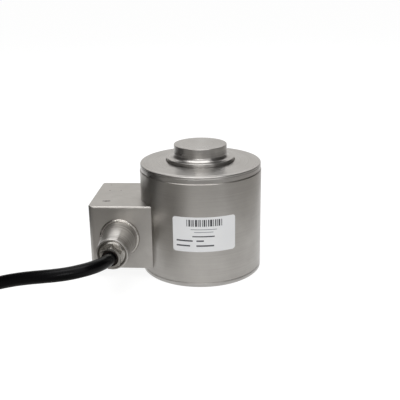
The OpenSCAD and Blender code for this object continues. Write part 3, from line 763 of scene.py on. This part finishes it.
cable = smooth_cord("cable", whole_route, CABLE_D, roundness=6)
jacket = moulded(
    "extruded_polyurethane_jacket",
    colour="#050506", deeper="#030304", roughness=0.27, grain=0.5 * MM, relief=0.03 * MM,
    level=0.1,
)
cable.data.materials.append(jacket)
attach(cable, "root")
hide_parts("cable_run", "cable_coil", "cable_tail")

# Start of the jacket
# The cable's first stretch, inside the block and the gland. The jacket is cut square there,
# and the cores leave it from a shallow hollow in its end.
JACKET_START = -16 * MM
JACKET_JOIN = -33 * MM
JACKET_SIDES = 48
JACKET_WALL = 0.9 * MM
HOLLOW = 0.5 * MM
bpy.ops.object.select_all(action="DESELECT")
bpy.ops.mesh.primitive_cylinder_add(
    vertices=JACKET_SIDES,
    radius=CABLE_D / 2,
    depth=JACKET_START - JACKET_JOIN,
    location=(GLAND_CENTRE[0], (JACKET_START + JACKET_JOIN) / 2, GLAND_CENTRE[2]),
    rotation=(math.pi / 2, 0, 0),
)
jacket_start = bpy.context.object
jacket_start.name = "jacket_start"
bpy.ops.object.transform_apply(location=True, rotation=True, scale=True)
for face in jacket_start.data.polygons:
    face.select = face.normal.y > 0.9
bpy.ops.object.mode_set(mode="EDIT")
bpy.ops.mesh.select_mode(type="FACE")
bpy.ops.mesh.inset(thickness=JACKET_WALL)
bpy.ops.transform.translate(value=(0, -HOLLOW, 0))
bpy.ops.object.mode_set(mode="OBJECT")
bpy.ops.object.shade_smooth_by_angle(angle=SHARP_ANGLE)
jacket_start.data.materials.append(jacket)
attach(jacket_start, "root")

# Coil ties
# Moulded black nylon ties with square heads, pulled tight and trimmed.
tie_nylon = moulded(
    "moulded_black_nylon",
    colour="#232325", deeper="#19191a", roughness=0.45, grain=0.5 * MM, relief=0.03 * MM,
    level=0.4,
)
dress(tie_nylon, "coil_ties")

# Bared end of the cable
# A polyolefin sleeve, shrunk over the jacket's end, and four cores whose last few millimetres
# are stripped to tinned copper strands. The shield's strands are twisted into a lead too.
STRAND_SHADE = "#b3b1ac"
STRAND_LIGHT = "#d3d2ce"
STRAND_GRAIN = 0.4 * MM
LEAD_D = 1.5 * MM
STRAND_D = 0.8 * MM
SHIELD_D = 1.1 * MM
STRIPPED_FROM = 0.35
STRANDS = 7
POINTS_PER_STRAND = 8
STRAND_DEPTH = 0.12
TWIST = 2.2
# The routes, in mm
LEAD_ROUTES = {
    "red": [(-243.7, 13.3, 4.5), (-240.2, 18.6, 3.2), (-237.6, 22.6, 1.4), (-236, 26.4, 0.8)],
    "black": [(-242.6, 12.2, 4.5), (-237.9, 16.9, 2.9), (-233.8, 20.5, 1.2), (-229.2, 24.4, 0.8)],
    "green": [(-241.4, 11, 4.5), (-236.6, 15, 2.9), (-231.6, 17.8, 1.2), (-225.8, 20.2, 0.8)],
    "white": [(-240.3, 9.9, 4.5), (-235.4, 12.6, 3.2), (-230.6, 13.8, 1.4), (-225, 13.9, 0.8)],
}
SHIELD_ROUTE = [(-242, 11.6, 6), (-239, 14.6, 5.7), (-235.2, 18, 3.6), (-232, 20.1, 1.9)]
polyolefin = moulded(
    "shrunk_polyolefin",
    colour="#1b1b1c", deeper="#121213", roughness=0.5, grain=1.2 * MM, relief=0.06 * MM,
    level=0.35,
)
dress(polyolefin, "end_sleeve")

strand_metal, place = new_finish("twisted_tinned_copper")
grain = add(strand_metal, "TexNoise", {"Vector": place, "Scale": 1 / STRAND_GRAIN, "Detail": 2.0})
colour = add(
    strand_metal, "Mix", {0: grain, 6: linear(STRAND_SHADE), 7: linear(STRAND_LIGHT)},
    data_type="RGBA",
)
rough = add(strand_metal, "MapRange", {"Value": grain, "To Min": 0.25, "To Max": 0.4})
shader = add(strand_metal, "BsdfPrincipled", {
    "Base Color": colour.outputs[2], "Metallic": 1.0, "Roughness": rough,
})
add(strand_metal, "OutputMaterial", {"Surface": shader})


def twisted_strands(name, points, diameter):
    """A bundle of strands twisted together: a lobed section that turns along the way."""
    section = bpy.data.curves.new("section", "CURVE")
    outline = section.splines.new("POLY")
    steps = POINTS_PER_STRAND * STRANDS
    outline.points.add(steps - 1)
    outline.use_cyclic_u = True
    for i, point in enumerate(outline.points):
        a = 2 * math.pi * i / steps
        lobe = abs(math.cos(STRANDS * a / 2))
        r = diameter / 2 * (1 - STRAND_DEPTH + STRAND_DEPTH * lobe)
        point.co = (r * math.cos(a), r * math.sin(a), 0, 1)
    profile = bpy.data.objects.new("section", section)
    bundle = smooth_cord(name, points, diameter=0, roundness=0)
    bundle.data.resolution_u = 14
    bundle.data.bevel_mode = "OBJECT"
    bundle.data.bevel_object = profile
    for i, handle in enumerate(bundle.data.splines[0].bezier_points):
        handle.tilt = i * TWIST
    bpy.ops.object.select_all(action="DESELECT")
    bundle.select_set(True)
    bpy.context.view_layer.objects.active = bundle
    bpy.ops.object.convert(target="MESH")
    bpy.data.objects.remove(profile)
    bundle = bpy.context.object
    bundle.data.materials.append(strand_metal)
    return bundle


for name, route in LEAD_ROUTES.items():
    points = [Vector(p) * MM for p in route]
    strip_at = points[2].lerp(points[3], STRIPPED_FROM)
    wire = smooth_cord(name + "_lead_wire", points[:3] + [strip_at], LEAD_D, roundness=4)
    wire.data.materials.append(insulation[name])
    bare_route = [strip_at, strip_at.lerp(points[3], 0.5), points[3]]
    bare = twisted_strands(name + "_strands", bare_route, STRAND_D)
    bpy.ops.object.select_all(action="DESELECT")
    wire.select_set(True)
    bpy.context.view_layer.objects.active = wire
    bpy.ops.object.convert(target="MESH")
    bare.select_set(True)
    bpy.ops.object.join()
    wire = bpy.context.object
    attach(wire, "root")
    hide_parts(name + "_lead")
shield = twisted_strands("shield_strands", [Vector(p) * MM for p in SHIELD_ROUTE], SHIELD_D)
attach(shield, "root")
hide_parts("shield_lead")

# Studio
# A plain white floor and surround, four soft lamps, and glowing cards that only reflections see:
# painted reflections set round the bright metal, dark at the left and right, grey in front and
# below, pale behind.
FLOOR_SIDE = 24
FLOOR_PAPER = "#e9e9e8"
WHITE = "#ffffff"
OWN_WHITE = 0.75
REFLECTED_STRENGTH = 1.05
CAMERA_STRENGTH = 1.15
LIT_STRENGTH = 0.6


def seen_by(owner):
    """Two outputs: 1 for what the camera sees, and 1 for what it or a reflection sees."""
    rays = add(owner, "LightPath").outputs
    camera_ray = rays["Is Camera Ray"]
    bounced = {0: rays["Is Glossy Ray"], 1: rays["Is Transmission Ray"]}
    reflected = add(owner, "Math", bounced, operation="MAXIMUM")
    return camera_ray, add(owner, "Math", {0: camera_ray, 1: reflected}, operation="MAXIMUM")


# What is seen of the floor is mostly its own even white. The rest is lit paper, which keeps
# the object's shadow.
bpy.ops.object.select_all(action="DESELECT")
bpy.ops.mesh.primitive_plane_add(size=FLOOR_SIDE)
floor = bpy.context.object
floor.name = "floor"
stage_material = emptied(bpy.data.materials.new("white_floor"))
camera_ray, seen = seen_by(stage_material)
share = add(stage_material, "Math", {0: seen, 1: OWN_WHITE}, operation="MULTIPLY")
lit = add(stage_material, "BsdfDiffuse", {"Color": linear(FLOOR_PAPER)})
shine = add(stage_material, "MapRange", {
    "Value": camera_ray, "To Min": REFLECTED_STRENGTH, "To Max": CAMERA_STRENGTH,
})
own = add(stage_material, "Emission", {"Color": linear(WHITE), "Strength": shine})
both = add(stage_material, "MixShader", {0: share, 1: lit, 2: own})
add(stage_material, "OutputMaterial", {"Surface": both})
floor.data.materials.append(stage_material)

world = emptied(bpy.data.worlds.new("studio"))
bpy.context.scene.world = world
camera_ray, seen = seen_by(world)
strength = add(world, "MapRange", {"Value": seen, "To Min": LIT_STRENGTH, "To Max": 1.0})
sky = add(world, "Background", {"Color": linear(WHITE), "Strength": strength})
add(world, "OutputWorld", {"Surface": sky})

# Each card's place, turn and size, in metres and radians, and its shade: the colour that it
# glows with, a painted reflection
PAINTED_REFLECTION_CARDS = [
    ("left_card", (-0.65, 0.2, 0.8), (0, math.pi / 2, 0), (1.5, 1.3), "#464442"),
    ("left_mat", (-0.6, 0.1, 0.002), (0, 0, 0), (0.66, 0.6), "#504e4c"),
    ("front_left_card", (-0.85, -0.85, 0.5), (math.pi / 2, 0, -0.8), (0.8, 1.0), "#8a8885"),
    ("front_left_mat", (-0.45, -0.45, 0.002), (0, 0, 0), (0.8, 0.8), "#a5a3a0"),
    ("gland_mat", (-0.09, -0.068, 0.003), (0, 0, 0), (0.06, 0.06), "#c0bebb"),
    ("front_card", (-0.15, -1.6, 0.5), (math.pi / 2, 0, 0), (1.6, 1.0), "#c8c6c3"),
    ("front_near_mat", (0.3, -0.21, 0.002), (0, 0, 0), (0.7, 0.07), "#a9a7a4"),
    ("front_mat", (0.3, -0.585, 0.002), (0, 0, 0), (0.7, 0.68), "#7c7a78"),
    ("right_card", (0.8, 0.25, 1.1), (math.pi / 2, 0, math.pi / 2), (1.9, 2.1), "#403e3c"),
    ("right_mat", (0.52, 0.15, 0.002), (0, 0, 0), (0.76, 0.65), "#c6c4c1"),
    ("back_card", (0, 1.3, 0.5), (math.pi / 2, 0, 0), (2.6, 1.0), "#eae8e5"),
]
for name, place, turn, size, shade in PAINTED_REFLECTION_CARDS:
    bpy.ops.mesh.primitive_plane_add(size=1, location=place, rotation=turn)
    card = bpy.context.object
    card.name = name
    card.scale = (*size, 1)
    card.visible_camera = card.visible_diffuse = card.visible_shadow = False
    card.visible_transmission = card.visible_volume_scatter = False
    # A card glows with its shade and is hidden from the camera, from diffuse light and from
    # shadows: it is a painted reflection, not a lit card.
    stage_material = emptied(bpy.data.materials.new(name + "_painted_reflection"))
    glow = add(stage_material, "Emission", {"Color": linear(shade)})
    add(stage_material, "OutputMaterial", {"Surface": glow})
    card.data.materials.append(stage_material)


def softbox(name, place, aim, size, power):
    """A rectangular soft lamp that faces a point."""
    bpy.ops.object.light_add(type="AREA", location=place)
    lamp = bpy.context.object
    lamp.name = name
    lamp.data.shape = "RECTANGLE"
    lamp.data.size, lamp.data.size_y = size
    lamp.data.energy = power
    lamp.rotation_euler = (Vector(aim) - Vector(place)).to_track_quat("-Z", "Y").to_euler()


softbox("key_light", (0.9, -0.9, 1.3), aim=(0, 0, 0.04), size=(1.0, 1.0), power=2)
softbox("front_light", (0, -1.3, 0.52), aim=(0, 0, 0.08), size=(0.8, 0.18), power=3.4)
softbox("top_light", (-0.15, -0.1, 1.1), aim=(-0.15, -0.1, 0), size=(1.1, 0.6), power=7)
softbox("back_light", (-0.3, 1.0, 0.95), aim=(0, 0, 0.05), size=(1.5, 0.3), power=1.9)

# Camera
# It stands in front and a little to the right, looking down at the cell through a 60 mm lens.
CAMERA_PLACE = (27.55 * MM, -438.2 * MM, 191.56 * MM)
CAMERA_YAW = -0.0643
CAMERA_PITCH = 0.3184
CAMERA_ROLL = -0.0135
turn = (
    Matrix.Rotation(-CAMERA_YAW, 3, "Z")
    @ Matrix.Rotation(math.pi / 2 - CAMERA_PITCH, 3, "X")
    @ Matrix.Rotation(CAMERA_ROLL, 3, "Z")
)
bpy.ops.object.camera_add(location=CAMERA_PLACE, rotation=turn.to_euler())
camera = bpy.context.object
camera.data.lens = 60
camera.data.sensor_width = 36
camera.data.clip_start = 0.01
bpy.context.scene.camera = camera
bpy.context.scene.view_settings.view_transform = "Standard"
